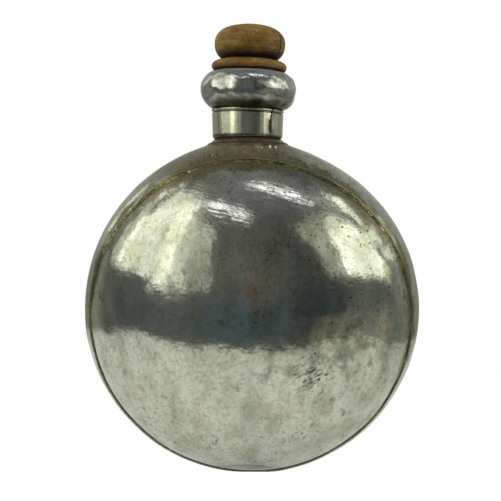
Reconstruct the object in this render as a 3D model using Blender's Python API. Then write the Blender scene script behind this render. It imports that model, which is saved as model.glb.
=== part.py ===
"""Round metal flask with a turned wooden stopper.

Two raised metal bowls meet in a lapped and soldered seam. The back bowl carries a flared neck,
a split collar and a hollow bulb, and a wooden stopper plugs the mouth of the bulb.
Metres, +Z up. The front faces -Y, and the origin is the middle of the base.
"""
import math

import bmesh
import bpy
from mathutils import Matrix, Vector

# Clearances and shared values
GAP = 0.0003                # between pieces that touch
MERGE = 0.000001            # points closer than this are one
OVERRUN = 0.0050            # how far a cutter runs past what it cuts

# Body: an ellipsoid of sheet metal on a small hammered flat
BODY_HALF_WIDTH = 0.0900
BODY_HALF_DEPTH = 0.0610
BODY_HALF_HEIGHT = 0.0889
BODY_SHEET = 0.0010
BASE_FLAT_DEPTH = 0.0015    # how far the lowest point is hammered up

# Seam: a plane in front of the body's middle, whose top leans forward
SEAM_FORWARD = 0.0199
SEAM_LEAN = math.radians(7.0)
SEAM_LAP = 0.0060           # how far the front bowl reaches under the back bowl
SEAM_BEAD_WIDTH = 0.0026
SEAM_BEAD_FLOOR_CLEARANCE = 0.0003

# Shoulder: the top of the body sways to the neck's side and is drawn up round it
SHOULDER_RISE = 0.0015
SHOULDER_SPREAD = 0.0250
SHOULDER_REACH = 0.0360     # finer faces this far from the neck
SWAY_POWER = 3              # the sway grows with this power of the height over the middle

# Neck
NECK_OFFSET = -0.00235      # the neck stands a little left of the middle
NECK_LEAN = math.radians(2.0)
NECK_SHEET = 0.0008
NECK_ABOVE_COLLAR = 0.0032
FOOT_RADIUS = 0.0219
FOOT_EDGE = 0.0006
FOOT_BEAD_WIDTH = 0.0012

# Collar round the neck, with a rolled hem at its top and a split down its side
COLLAR_ABOVE_BODY = 0.0022  # from the body's highest point to the collar's lower edge
COLLAR_HEIGHT = 0.0157
COLLAR_TOP_RADIUS = 0.01930
COLLAR_BOTTOM_RADIUS = 0.01895
COLLAR_SHEET = 0.0010
HEM_RADIUS = 0.00065
HEM_PROUD = 0.0004          # how far the hem stands out from the collar
SPLIT_ANGLE = math.radians(43.0)
SPLIT_TOP_WIDTH = 0.0005
SPLIT_LOW_WIDTH = 0.0015
SPLIT_END_WIDTH = 0.0007
SPLIT_END_HEIGHT = 0.0012
SPLIT_FLOOR = 0.0024        # metal left whole below the split
SPLIT_FILL_HEIGHT = 0.0066
SPLIT_FILL_PROUD = 0.0001

# Bulb: a hollow ring that swells round the mouth
BULB_RADIUS = 0.02575
BULB_SECTION_WIDTH = 0.00955
BULB_SECTION_HEIGHT = 0.01045
BULB_SHEET = 0.0010
BULB_BOTTOM_ANGLE = math.radians(-73.2)
MOUTH_RADIUS = 0.0142
LIP_LENGTH = 0.0040

# Stopper
PLUG_LENGTH = 0.0260
PLUG_TAPER = 0.0009
PLUG_CHAMFER = 0.0008
FLANGE_RADIUS = 0.02025
FLANGE_HEIGHT = 0.0057
FLANGE_SHOULDER_RADIUS = 0.0160
FLANGE_WIDEST_HEIGHT = 0.0024
FLANGE_EDGE = 0.0010
GROOVE_RADIUS = 0.0148
GROOVE_HEIGHT = 0.0009
KNOB_RADIUS = 0.01910
KNOB_WIDEST_HEIGHT = 0.01465
KNOB_RISE = 0.01055
KNOB_DROP = 0.0120
KNOB_SQUARENESS = 2.35

# Faces
BODY_SEGMENTS = 56
FRONT_RINGS = 12
BACK_RINGS = 17
NECK_SEGMENTS = 40
BULB_STEPS = 10
HEM_STEPS = 6
FILLET_STEPS = 3
KNOB_STEPS = 6
SHARP_ANGLE = math.radians(35)
SWAY_ROUNDS = 4             # rounds that settle the shoulder's height

# Derived places
BODY_HALF_SIZES = Vector((BODY_HALF_WIDTH, BODY_HALF_DEPTH, BODY_HALF_HEIGHT))
LAP_DEPTH = BODY_SHEET + GAP
FRONT_HALF_SIZES = BODY_HALF_SIZES - Vector((LAP_DEPTH, LAP_DEPTH, LAP_DEPTH))
BODY_CENTRE = Vector((0, -LAP_DEPTH / 2, BODY_HALF_HEIGHT - BASE_FLAT_DEPTH))
COLLAR_BOTTOM = BODY_CENTRE.z + BODY_HALF_HEIGHT + COLLAR_ABOVE_BODY
NECK_RADIUS = COLLAR_BOTTOM_RADIUS - COLLAR_SHEET - GAP
NECK_BORE = NECK_RADIUS - NECK_SHEET
NECK_PLACE = Vector((NECK_OFFSET, BODY_CENTRE.y, COLLAR_BOTTOM))
BULB_SECTION_RADIUS = BULB_RADIUS - BULB_SECTION_WIDTH
BULB_CENTRE = GAP - BULB_SECTION_HEIGHT * math.sin(BULB_BOTTOM_ANGLE)
BULB_TOP = BULB_CENTRE + BULB_SECTION_HEIGHT
PLUG_RADIUS = MOUTH_RADIUS - GAP


def clear_scene():
    """Remove every object of the open file."""
    for item in list(bpy.data.objects):
        bpy.data.objects.remove(item, do_unlink=True)


def make_material(name, colour, metallic, roughness):
    """Principled material of one plain finish."""
    material = bpy.data.materials.new(name)
    material.use_nodes = True
    shader = material.node_tree.nodes["Principled BSDF"]
    shader.inputs["Base Color"].default_value = (*colour, 1.0)
    shader.inputs["Metallic"].default_value = metallic
    shader.inputs["Roughness"].default_value = roughness
    return material


def finish_object(name, bm, material, parent=None):
    """Turn a bmesh into a named, smooth-shaded object."""
    mesh = bpy.data.meshes.new(name)
    bm.to_mesh(mesh)
    bm.free()
    mesh.shade_smooth()
    mesh.set_sharp_from_angle(angle=SHARP_ANGLE)
    mesh.materials.append(material)
    item = bpy.data.objects.new(name, mesh)
    bpy.context.collection.objects.link(item)
    item.parent = parent
    return item


def arc(centre, half_width, half_height, start, end, steps, power=2.0):
    """Points along part of an ellipse, or of a squarer curve where power is over 2."""
    points = []
    for step in range(steps + 1):
        angle = start + (end - start) * step / steps
        across = math.copysign(abs(math.cos(angle)) ** (2 / power), math.cos(angle))
        up = math.copysign(abs(math.sin(angle)) ** (2 / power), math.sin(angle))
        points.append((centre[0] + half_width * across, centre[1] + half_height * up))
    return points


def turned_shape(profile, closed):
    """Spin an outline of (radius, height) points once round the Z axis."""
    bm = bmesh.new()
    verts = [bm.verts.new((radius, 0, height)) for radius, height in profile]
    pairs = list(zip(verts, verts[1:]))
    if closed:
        pairs.append((verts[-1], verts[0]))
    edges = [bm.edges.new(pair) for pair in pairs]
    bmesh.ops.spin(bm, geom=verts + edges, axis=(0, 0, 1), cent=(0, 0, 0),
                   angle=math.tau, steps=NECK_SEGMENTS, use_merge=True)
    bmesh.ops.remove_doubles(bm, verts=bm.verts, dist=MERGE)
    bmesh.ops.recalc_face_normals(bm, faces=bm.faces)
    return bm


def neck_distance(point):
    """Distance of a point from the neck's upright axis."""
    return math.hypot(point.x - NECK_PLACE.x, point.y - NECK_PLACE.y)


def shoulder_lift(point):
    """How far the drawn-up shoulder rises above the plain ellipsoid."""
    outside = max(neck_distance(point) - NECK_RADIUS, 0)
    return SHOULDER_RISE * math.exp(-outside / SHOULDER_SPREAD)


def sway(height):
    """How far the upper body leans over to the neck's side at a height."""
    share = (height - BODY_CENTRE.z) / BODY_HALF_HEIGHT
    return NECK_OFFSET * max(share, 0) ** SWAY_POWER


def shoulder_height(point):
    """Height of the back bowl's outer face over a point of the plan."""
    height = BODY_CENTRE.z + BODY_HALF_HEIGHT
    for _ in range(SWAY_ROUNDS):
        across = (point.x - sway(height)) / BODY_HALF_WIDTH
        along = (point.y - BODY_CENTRE.y) / BODY_HALF_DEPTH
        height = BODY_CENTRE.z + BODY_HALF_HEIGHT * math.sqrt(1 - across ** 2 - along ** 2)
    return height + shoulder_lift(point)


def seam_normal(half_sizes):
    """The seam plane's normal, seen on the unit sphere that half_sizes stretches."""
    return Vector((0, -math.cos(SEAM_LEAN) * half_sizes.y, -math.sin(SEAM_LEAN) * half_sizes.z))


def seam_angle(half_sizes, forward):
    """Polar angle, from the front, of the plane that lies this far forward of the middle."""
    return math.acos(forward * math.cos(SEAM_LEAN) / seam_normal(half_sizes).length)


def seam_frame(half_sizes):
    """Matrix that takes a unit sphere whose pole is +Z to the body, pole to the front."""
    turn = Vector((0, 0, 1)).rotation_difference(seam_normal(half_sizes)).to_matrix().to_4x4()
    return Matrix.Translation(BODY_CENTRE) @ Matrix.Diagonal((*half_sizes, 1)) @ turn


def place_cap(bm, half_sizes):
    """Stretch a unit cap to the body's size and lean its top to the neck's side."""
    bm.transform(seam_frame(half_sizes))
    for vert in bm.verts:
        vert.co.x += sway(vert.co.z)


def flatten_base(bm, level):
    """Press what lies below a level flat, with a clean edge round the flat."""
    geom = list(bm.verts) + list(bm.edges) + list(bm.faces)
    bmesh.ops.bisect_plane(bm, geom=geom, dist=MERGE, plane_co=(0, 0, level), plane_no=(0, 0, 1))
    for vert in bm.verts:
        vert.co.z = max(vert.co.z, level)


def unit_cap(angles):
    """Open cap of the unit sphere with its pole at +Z or -Z and rings at the given angles."""
    bm = bmesh.new()
    verts = [bm.verts.new((math.sin(angle), 0, math.cos(angle))) for angle in angles]
    edges = [bm.edges.new(pair) for pair in zip(verts, verts[1:])]
    bmesh.ops.spin(bm, geom=verts + edges, axis=(0, 0, 1), cent=(0, 0, 0),
                   angle=math.tau, steps=BODY_SEGMENTS, use_merge=True)
    bmesh.ops.remove_doubles(bm, verts=bm.verts, dist=MERGE)
    for face in bm.faces:
        if face.normal.dot(face.calc_center_median()) < 0:
            face.normal_flip()
    return bm


def wall_inward(item, thickness):
    """Give an open shell its wall, measured inward from the modelled face."""
    wall = item.modifiers.new("wall", "SOLIDIFY")
    wall.thickness = thickness
    wall.offset = -1
    wall.use_even_offset = True


def cut_with(item, cutter):
    """Subtract a hidden guide solid."""
    cutter.hide_render = True
    cutter.display_type = "WIRE"
    cut = item.modifiers.new("cut " + cutter.name, "BOOLEAN")
    cut.operation = "DIFFERENCE"
    cut.solver = "EXACT"
    cut.object = cutter


def make_front_shell(material):
    """Front bowl: the smaller cap, whose rim slips under the back bowl."""
    seam = seam_angle(FRONT_HALF_SIZES, SEAM_FORWARD)
    rim = seam_angle(FRONT_HALF_SIZES, SEAM_FORWARD - SEAM_LAP)
    angles = [seam * ring / FRONT_RINGS for ring in range(FRONT_RINGS + 1)] + [rim]
    bm = unit_cap(angles)
    place_cap(bm, FRONT_HALF_SIZES)
    flatten_base(bm, LAP_DEPTH)
    shell = finish_object("front_shell", bm, material)
    wall_inward(shell, BODY_SHEET)


def refine_shoulder(bm):
    """Halve the faces near the neck and put their new points back on the unit sphere."""
    frame = seam_frame(BODY_HALF_SIZES)
    near = set()
    for vert in bm.verts:
        place = frame @ vert.co
        if place.z > BODY_CENTRE.z and neck_distance(place) < SHOULDER_REACH:
            near.update(vert.link_edges)
    bmesh.ops.subdivide_edges(bm, edges=list(near), cuts=1, use_grid_fill=True)
    for vert in bm.verts:
        vert.co.normalize()


def make_back_shell(material):
    """Back bowl: the larger cap, drawn up round the neck and open there."""
    lap = seam_angle(BODY_HALF_SIZES, SEAM_FORWARD - SEAM_LAP)
    seam = seam_angle(BODY_HALF_SIZES, SEAM_FORWARD)
    span = math.pi - lap
    angles = [math.pi - span * ring / BACK_RINGS for ring in range(BACK_RINGS + 1)] + [seam]
    bm = unit_cap(angles)
    refine_shoulder(bm)
    place_cap(bm, BODY_HALF_SIZES)
    for vert in bm.verts:
        if vert.co.z > BODY_CENTRE.z:
            vert.co.z += shoulder_lift(vert.co)
    flatten_base(bm, 0)
    shell = finish_object("back_shell", bm, material)
    wall_inward(shell, BODY_SHEET)
    cut_with(shell, make_neck_hole())


def make_neck_hole():
    """Round guide solid that opens the shoulder below the neck."""
    bm = bmesh.new()
    depth = BODY_HALF_HEIGHT / 2
    bmesh.ops.create_cone(bm, cap_ends=True, segments=NECK_SEGMENTS, radius1=NECK_BORE,
                          radius2=NECK_BORE, depth=depth, matrix=Matrix.Translation(NECK_PLACE))
    return finish_object("neck_hole", bm, make_material("guide", (1, 1, 1), 0, 1))


def ring_points(half_sizes, forward):
    """Points where a plane parallel to the seam meets an ellipsoid round the body's centre."""
    angle = seam_angle(half_sizes, forward)
    frame = seam_frame(half_sizes)
    points = []
    for step in range(BODY_SEGMENTS):
        turn = math.tau * step / BODY_SEGMENTS
        flat = Vector((math.cos(turn), math.sin(turn), 0)) * math.sin(angle)
        point = frame @ (flat + Vector((0, 0, math.cos(angle))))
        point.x += sway(point.z)
        points.append(point)
    return points


def loft_ring(rings):
    """Closed band through rings of points, the last ring joined to the first."""
    bm = bmesh.new()
    loops = [[bm.verts.new(point) for point in ring] for ring in rings]
    for loop, after in zip(loops, loops[1:] + loops[:1]):
        for index in range(len(loop)):
            following = (index + 1) % len(loop)
            bm.faces.new((loop[index], loop[following], after[following], after[index]))
    bmesh.ops.recalc_face_normals(bm, faces=bm.faces)
    return bm


def make_seam_solder(material):
    """Fillet of solder in the corner between the back bowl's rim and the front bowl."""
    width_shares = (0, 0, 0.40, 0.80, 1)
    height_shares = (0, 0.92, 0.70, 0.30, 0)
    rings = []
    for width_share, height_share in zip(width_shares, height_shares):
        raise_by = GAP + (LAP_DEPTH - GAP) * height_share
        half_sizes = FRONT_HALF_SIZES + Vector((raise_by, raise_by, raise_by))
        rings.append(ring_points(half_sizes, SEAM_FORWARD + GAP + SEAM_BEAD_WIDTH * width_share))
    bm = loft_ring(rings)
    for vert in bm.verts:
        vert.co.z = max(vert.co.z, SEAM_BEAD_FLOOR_CLEARANCE)
    finish_object("seam_solder", bm, material)


def shoulder_ring(radius, height_over):
    """Ring round the neck axis, each point at its own height over the shoulder."""
    points = []
    for step in range(NECK_SEGMENTS):
        turn = math.tau * step / NECK_SEGMENTS
        point = NECK_PLACE + Vector((math.cos(turn), math.sin(turn), 0)) * radius
        point.z = height_over(shoulder_height(point))
        points.append(point)
    return points


def make_neck_tube(material):
    """Neck: a straight tube whose foot flares out over the shoulder and follows it."""
    top = COLLAR_BOTTOM + COLLAR_HEIGHT + NECK_ABOVE_COLLAR
    spread = FOOT_RADIUS - NECK_RADIUS
    seat_shares = (0, 0.5, 1)
    rings = [shoulder_ring(NECK_BORE + (FOOT_RADIUS - NECK_BORE) * share, lambda seat: seat + GAP)
             for share in seat_shares]
    for step in range(FILLET_STEPS + 1):
        angle = math.pi / 2 * step / FILLET_STEPS
        share = 1 - math.cos(angle)
        rings.append(shoulder_ring(
            FOOT_RADIUS - spread * math.sin(angle),
            lambda seat: (seat + GAP + FOOT_EDGE) * (1 - share) + COLLAR_BOTTOM * share))
    rings += [shoulder_ring(radius, lambda seat: top) for radius in (NECK_RADIUS, NECK_BORE)]
    finish_object("neck_tube", loft_ring(rings), material)


def make_foot_solder(material):
    """Fine fillet of solder round the edge of the neck's foot."""
    corner_shares = ((0, 0), (0, 1), (0.5, 0.5), (1, 0))
    rings = []
    for width_share, height_share in corner_shares:
        rings.append(shoulder_ring(
            FOOT_RADIUS + GAP + FOOT_BEAD_WIDTH * width_share,
            lambda seat: seat + GAP + FOOT_EDGE * height_share))
    finish_object("foot_solder", loft_ring(rings), material)


def split_outline(inset, top):
    """Outline of the collar's split, as (across, height) points, up to a height."""
    low = SPLIT_FLOOR + SPLIT_END_HEIGHT
    narrowing = (SPLIT_LOW_WIDTH - SPLIT_TOP_WIDTH) * (top - low) / (COLLAR_HEIGHT - low)
    half_widths = [(SPLIT_LOW_WIDTH - narrowing, top), (SPLIT_LOW_WIDTH, low),
                   (SPLIT_END_WIDTH, SPLIT_FLOOR + inset)]
    left = [(inset - width / 2, height) for width, height in half_widths]
    return left + [(-across, height) for across, height in reversed(left)]


def split_prism(outline, inner_radius, outer_radius):
    """Solid that fills an outline from one radius to another, on the front of the neck."""
    bm = bmesh.new()
    face = bm.faces.new([bm.verts.new((across, -inner_radius, height)) for across, height in outline])
    grown = bmesh.ops.extrude_face_region(bm, geom=[face])["geom"]
    outer = [item for item in grown if isinstance(item, bmesh.types.BMVert)]
    bmesh.ops.translate(bm, verts=outer, vec=(0, inner_radius - outer_radius, 0))
    bmesh.ops.recalc_face_normals(bm, faces=bm.faces)
    return bm


def make_collar(material, neck_axis):
    """Collar: a slightly tapered sleeve with a rolled hem, cut on a slant to the neck's lean."""
    hem_centre = COLLAR_TOP_RADIUS + HEM_PROUD - HEM_RADIUS
    hem_start = -math.acos((HEM_RADIUS - HEM_PROUD) / HEM_RADIUS)
    profile = [(COLLAR_BOTTOM_RADIUS - COLLAR_SHEET, 0), (COLLAR_BOTTOM_RADIUS, 0)]
    profile += arc((hem_centre, COLLAR_HEIGHT - HEM_RADIUS), HEM_RADIUS, HEM_RADIUS,
                   hem_start, math.pi, HEM_STEPS)
    bm = turned_shape(profile, closed=True)
    for vert in bm.verts:
        vert.co.z -= vert.co.x * math.tan(NECK_LEAN) * vert.co.z / COLLAR_HEIGHT
    collar = finish_object("neck_collar", bm, material, neck_axis)
    outline = split_outline(0, COLLAR_HEIGHT + OVERRUN)
    cutter = finish_object("collar_split", split_prism(outline, NECK_BORE, FOOT_RADIUS + OVERRUN),
                           material, neck_axis)
    cutter.rotation_euler.z = SPLIT_ANGLE
    cut_with(collar, cutter)


def make_collar_solder(material, neck_axis):
    """Strip of solder left in the low end of the collar's split."""
    outline = split_outline(GAP, SPLIT_FLOOR + SPLIT_FILL_HEIGHT)
    bm = split_prism(outline, NECK_RADIUS + GAP, COLLAR_BOTTOM_RADIUS + SPLIT_FILL_PROUD)
    strip = finish_object("collar_solder", bm, material, neck_axis)
    strip.rotation_euler.z = SPLIT_ANGLE


def make_bulb(material, mouth_axis):
    """Bulb: a hollow ring of sheet with an open underside and a lip turned down into the mouth."""
    roll = BULB_SECTION_RADIUS - MOUTH_RADIUS
    centre = (BULB_SECTION_RADIUS, BULB_CENTRE)
    lip_centre = (BULB_SECTION_RADIUS, BULB_TOP - roll)
    lip_end = lip_centre[1] - LIP_LENGTH
    quarter = math.pi / 2
    profile = arc(centre, BULB_SECTION_WIDTH, BULB_SECTION_HEIGHT,
                  BULB_BOTTOM_ANGLE, quarter, BULB_STEPS)
    profile += arc(lip_centre, roll, roll, quarter, math.pi, FILLET_STEPS)[1:]
    profile += [(MOUTH_RADIUS, lip_end), (MOUTH_RADIUS + BULB_SHEET, lip_end)]
    profile += arc(lip_centre, roll - BULB_SHEET, roll - BULB_SHEET, math.pi, quarter, FILLET_STEPS)
    profile += arc(centre, BULB_SECTION_WIDTH - BULB_SHEET, BULB_SECTION_HEIGHT - BULB_SHEET,
                   quarter, BULB_BOTTOM_ANGLE, BULB_STEPS)[1:]
    finish_object("neck_bulb", turned_shape(profile, closed=True), material, mouth_axis)


def make_stopper(material, mouth_axis):
    """Stopper: knob, groove, flange and tapered plug, turned from one piece of wood."""
    tip_radius = PLUG_RADIUS - PLUG_TAPER
    profile = [(0, -PLUG_LENGTH), (tip_radius - PLUG_CHAMFER, -PLUG_LENGTH),
               (tip_radius, PLUG_CHAMFER - PLUG_LENGTH), (PLUG_RADIUS, 0)]
    quarter = math.pi / 2
    profile += arc((FLANGE_RADIUS - FLANGE_EDGE, FLANGE_EDGE), FLANGE_EDGE, FLANGE_EDGE,
                   -quarter, 0, 2)
    profile += arc((FLANGE_SHOULDER_RADIUS, FLANGE_WIDEST_HEIGHT),
                   FLANGE_RADIUS - FLANGE_SHOULDER_RADIUS, FLANGE_HEIGHT - FLANGE_WIDEST_HEIGHT,
                   0, quarter, FILLET_STEPS)
    profile.append((GROOVE_RADIUS, FLANGE_HEIGHT + GROOVE_HEIGHT / 2))
    centre = (0, KNOB_WIDEST_HEIGHT)
    drop_share = (KNOB_WIDEST_HEIGHT - FLANGE_HEIGHT - GROOVE_HEIGHT) / KNOB_DROP
    lowest = -math.asin(drop_share ** (KNOB_SQUARENESS / 2))
    profile += arc(centre, KNOB_RADIUS, KNOB_DROP, lowest, 0, KNOB_STEPS, KNOB_SQUARENESS)
    profile += arc(centre, KNOB_RADIUS, KNOB_RISE, 0, quarter, KNOB_STEPS, KNOB_SQUARENESS)[1:]
    stopper = finish_object("stopper", turned_shape(profile, closed=False), material, mouth_axis)
    stopper.location.z = BULB_TOP + GAP


def make_axis(name, place, lean):
    """Empty that carries what stands on one axis."""
    axis = bpy.data.objects.new(name, None)
    axis.location = place
    axis.rotation_euler.y = lean
    bpy.context.collection.objects.link(axis)
    return axis


def build_flask():
    """Model every piece in its place."""
    clear_scene()
    metal = make_material("tinned_sheet", (0.52, 0.52, 0.49), 1.0, 0.30)
    neck_metal = make_material("tinned_neck", (0.55, 0.55, 0.52), 1.0, 0.25)
    solder = make_material("old_solder", (0.30, 0.28, 0.17), 0.8, 0.55)
    wood = make_material("turned_wood", (0.32, 0.17, 0.06), 0.0, 0.50)
    neck_axis = make_axis("neck_axis", NECK_PLACE, 0)
    mouth_axis = make_axis("mouth_axis", NECK_PLACE + Vector((0, 0, COLLAR_HEIGHT)), NECK_LEAN)
    make_front_shell(metal)
    make_back_shell(metal)
    make_seam_solder(solder)
    make_neck_tube(neck_metal)
    make_foot_solder(solder)
    make_collar(neck_metal, neck_axis)
    make_collar_solder(solder, neck_axis)
    make_bulb(neck_metal, mouth_axis)
    make_stopper(wood, mouth_axis)
    bpy.context.view_layer.update()


build_flask()
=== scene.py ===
import math
from functools import partial

import bmesh
import bpy
from mathutils import Matrix, Vector, noise


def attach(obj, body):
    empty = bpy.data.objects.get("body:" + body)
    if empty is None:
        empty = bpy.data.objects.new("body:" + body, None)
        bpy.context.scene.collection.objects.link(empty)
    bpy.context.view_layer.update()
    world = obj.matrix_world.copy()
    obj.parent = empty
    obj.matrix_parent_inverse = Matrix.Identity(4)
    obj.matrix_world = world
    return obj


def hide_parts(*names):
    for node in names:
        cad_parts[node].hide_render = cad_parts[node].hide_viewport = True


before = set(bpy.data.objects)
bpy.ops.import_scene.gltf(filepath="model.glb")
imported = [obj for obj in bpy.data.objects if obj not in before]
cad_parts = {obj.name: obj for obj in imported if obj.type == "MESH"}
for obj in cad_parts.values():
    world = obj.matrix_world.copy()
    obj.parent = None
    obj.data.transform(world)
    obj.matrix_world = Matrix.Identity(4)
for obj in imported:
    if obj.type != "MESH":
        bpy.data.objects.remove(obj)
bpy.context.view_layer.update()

print("solids loaded:", ", ".join(sorted(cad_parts)))


# small helpers

# sRGB hex to the linear colour that a socket holds
def linear(hexColour):
    parts = [int(hexColour[i:i + 2], 16) / 255 for i in (1, 3, 5)]
    return (*[p / 12.92 if p <= 0.04045 else ((p + 0.055) / 1.055) ** 2.4 for p in parts], 1.0)


# a pattern's scale from the real size of its features, in millimetres
def perMetre(millimetres):
    return 1000 / millimetres


def clamped(value, low=0, high=1):
    return min(max(value, low), high)


# adds a node with its settings and links, and gives back one output, or the node where out is None.
# Sockets by number: Map Range has the value at 0, where it starts and is full at 1 and 2, and what it
# gives there at 3 and 4; Mix has the share at 0 and the colours at 6 and 7.
def addNode(tree, kind, sockets={}, out=0, **settings):
    new = tree.nodes.new("ShaderNode" + kind)
    for name, value in settings.items():
        setattr(new, name, value)
    for key, value in sockets.items():
        if isinstance(value, bpy.types.NodeSocket):
            tree.links.new(value, new.inputs[key])
        else:
            new.inputs[key].default_value = value
    return new if out is None else new.outputs[out]


# a new material and what adds nodes to it
def emptyMaterial(name):
    material = bpy.data.materials.new(name)
    material.use_nodes = True
    material.node_tree.nodes.clear()
    return material, partial(addNode, material.node_tree)


smooth = dict(interpolation_type="SMOOTHSTEP")  # settings that many nodes share
drawnOut = dict(vector_type="TEXTURE")


# colours laid over one another, each by its share
def layered(add, colour, layers):
    for share, hexColour in layers:
        colour = add("Mix", {0: share, 6: colour, 7: linear(hexColour)}, 2, data_type="RGBA")
    return colour


# a total with each share times its weight added
def weighted(add, total, terms, **settings):
    for share, weight in terms:
        total = add("Math", {0: share, 1: weight, 2: total}, operation="MULTIPLY_ADD", **settings)
    return total


# how far a value lies from a middle one, to either side
def apartFrom(add, value, middle):
    beyond = add("Math", {0: value, 1: middle}, operation="SUBTRACT")
    return add("Math", {0: beyond}, operation="ABSOLUTE")


# most at a spot, falling to least at the radius
def nearSpot(add, place, spot, radius, least, most, **settings):
    apart = add("VectorMath", {0: place, 1: spot}, "Value", operation="DISTANCE")
    return add("MapRange", {0: apart, 1: radius, 2: 0, 3: least, 4: most}, **settings)


# what every material ends with: relief, shader and output
def finishMaterial(add, relief, strength, distance, sockets):
    bump = add("Bump", {"Height": relief, "Strength": strength, "Distance": distance})
    shader = add("BsdfPrincipled", {"Normal": bump, **sockets})
    add("OutputMaterial", {"Surface": shader}, None)


# a bmesh becomes a smooth-shaded piece at the origin
def finishPiece(name, bm, materials, sharpAngle=38):
    mesh = bpy.data.meshes.new(name)
    bm.to_mesh(mesh)
    bm.free()
    mesh.shade_smooth()
    mesh.set_sharp_from_angle(angle=math.radians(sharpAngle))
    for material in materials:
        mesh.materials.append(material)
    piece = bpy.data.objects.new(name, mesh)
    bpy.context.scene.collection.objects.link(piece)
    return piece


# points along part of an ellipse, or of a squarer curve where power is over 2
def arc(centre, across, up, startDeg, endDeg, steps, power=2.0):
    points = []
    for step in range(steps + 1):
        a = math.radians(startDeg + (endDeg - startDeg) * step / steps)
        c, s = math.cos(a), math.sin(a)
        points.append((centre[0] + across * math.copysign(abs(c) ** (2 / power), c),
                       centre[1] + up * math.copysign(abs(s) ** (2 / power), s)))
    return points


# spins an outline of (radius, height) points round the Z axis
def spun(profile, rounds, closed=True):
    bm = bmesh.new()
    verts = [bm.verts.new((radius, 0, height)) for radius, height in profile]
    pairs = list(zip(verts, verts[1:])) + ([(verts[-1], verts[0])] if closed else [])
    edges = [bm.edges.new(pair) for pair in pairs]
    bmesh.ops.spin(bm, geom=verts + edges, axis=(0, 0, 1), cent=(0, 0, 0), angle=math.tau,
                   steps=rounds, use_merge=True)
    bmesh.ops.remove_doubles(bm, verts=bm.verts, dist=1e-6)
    bmesh.ops.recalc_face_normals(bm, faces=bm.faces)
    return bm


# hand work: soft lumps along the normals, each given as (size across, depth); still ones stay put
def addLumps(bm, lumps, offset=Vector((0, 0, 0)), still=()):
    bm.normal_update()
    moves = [(v, v.normal * sum(depth * noise.noise((v.co + offset) / size) for size, depth in lumps))
             for v in bm.verts if v not in still]
    for v, move in moves:
        v.co += move


# camera, at the photograph's height and distance

view = dict(distance=0.830, height=0.11839, aside=-0.00081, frameWidth=0.27054, sensor=36)

cameraData = bpy.data.cameras.new("camera")
cameraData.sensor_width = view["sensor"]
cameraData.lens = view["sensor"] * view["distance"] / view["frameWidth"]
camera = bpy.data.objects.new("camera", cameraData)
camera.location = (view["aside"], -view["distance"], view["height"])
camera.rotation_euler = (math.radians(90), 0, 0)
bpy.context.scene.collection.objects.link(camera)
bpy.context.scene.camera = camera


# measures in metres, as in the solids where no note says otherwise

# the rim is hammered thin and the shoulder's rise fades out at the seam in the looks only
body = dict(halfSize=Vector((0.0900, 0.0610, 0.0889)), sheet=0.0010, gap=0.0003, baseFlat=0.0015,
            seamForward=0.0182, seamLean=math.radians(7), seamTurn=math.radians(-1.1), seamLap=0.0060,
            rimThinned=0.0005, rimReach=0.0080, shoulderRise=0.0015, shoulderSpread=0.0250,
            riseFade=0.009, swayPower=3, rounds=320, frontRings=90, backRings=112, edgeBevel=0.00022,
            lumps=((0.030, 0.00024), (0.013, 0.00013), (0.0060, 0.00004)))
lapDepth = body["sheet"] + body["gap"]
frontHalf = body["halfSize"] - Vector((lapDepth, lapDepth, lapDepth))
bodyCentre = Vector((0, -lapDepth / 2, body["halfSize"].z - body["baseFlat"]))

# the seat beaten up round the foot, and the skirt's flare, are in the looks only
neck = dict(x=-0.00235, lean=math.radians(2), aboveBody=0.0022, tubeSheet=0.0008, aboveCollar=0.0032,
            footRadius=0.0211, footEdge=0.0003, skirtRise=0.0027, skirtPower=1.15, holeMargin=0.0010,
            rounds=160, seatHeight=0.1752, seatRadius=0.0205, seatSlope=1.15, seatCurve=25,
            seatBlend=0.0010, footTuck=0.0001)
collar = dict(height=0.0157, topRadius=0.01930, lowRadius=0.01895, sheet=0.0010, hem=0.00085,
              hemProud=0.00025, groove=0.0007, grooveDeep=0.00045, turnIn=0.0009, turnUp=0.0022,
              rounds=200, sideSteps=14, splitAngle=math.radians(45), splitFloor=0.0024, lipSpread=0.11,
              lipProud=0.00028, lipFade=0.004, lipFrom=0.0003, grooveSlopeShare=0.35,
              lumps=((0.010, 0.00006),))
bulb = dict(radius=0.02575, sectionWidth=0.00955, sectionHeight=0.01045, sheet=0.0010,
            bottomDeg=-73.2, mouth=0.0142, lip=0.0040, upperPower=2.2, rounds=200, steps=24,
            lumps=((0.011, 0.00034), (0.0050, 0.00032)), smoothTo=0.001)
bulbCentreHeight = body["gap"] - bulb["sectionHeight"] * math.sin(math.radians(bulb["bottomDeg"]))
bulbTop = bulbCentreHeight + bulb["sectionHeight"]
stopper = dict(plug=0.0260, taper=0.0009, chamfer=0.0008, flange=0.02025, flangeHeight=0.0057,
               flangeShoulder=0.0150, flangeWidest=0.0024, flangeUnder=0.0017, flangeEdge=0.0007,
               groove=0.0148, grooveHeight=0.0009, knob=0.01910, knobWidest=0.01465, knobRise=0.01055,
               knobDrop=0.0120, squareness=2.35, rounds=192, lumps=((0.012, 0.00012), (0.004, 0.00003)),
               crackAngle=math.radians(60), crackHalfAngle=math.radians(0.9), crackDepth=0.0016,
               crackFrom=0.006, crackFade=0.006, crackCutFrom=0.002, crackAbove=0.001)
collarBottom = bodyCentre.z + body["halfSize"].z + neck["aboveBody"]
tubeRadius = collar["lowRadius"] - collar["sheet"] - body["gap"]
tubeBore = tubeRadius - neck["tubeSheet"]
neckPlace = Vector((neck["x"], bodyCentre.y, collarBottom))
mouthFrame = (Matrix.Translation(neckPlace + Vector((0, 0, collar["height"])))
              @ Matrix.Rotation(neck["lean"], 4, "Y"))

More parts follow.
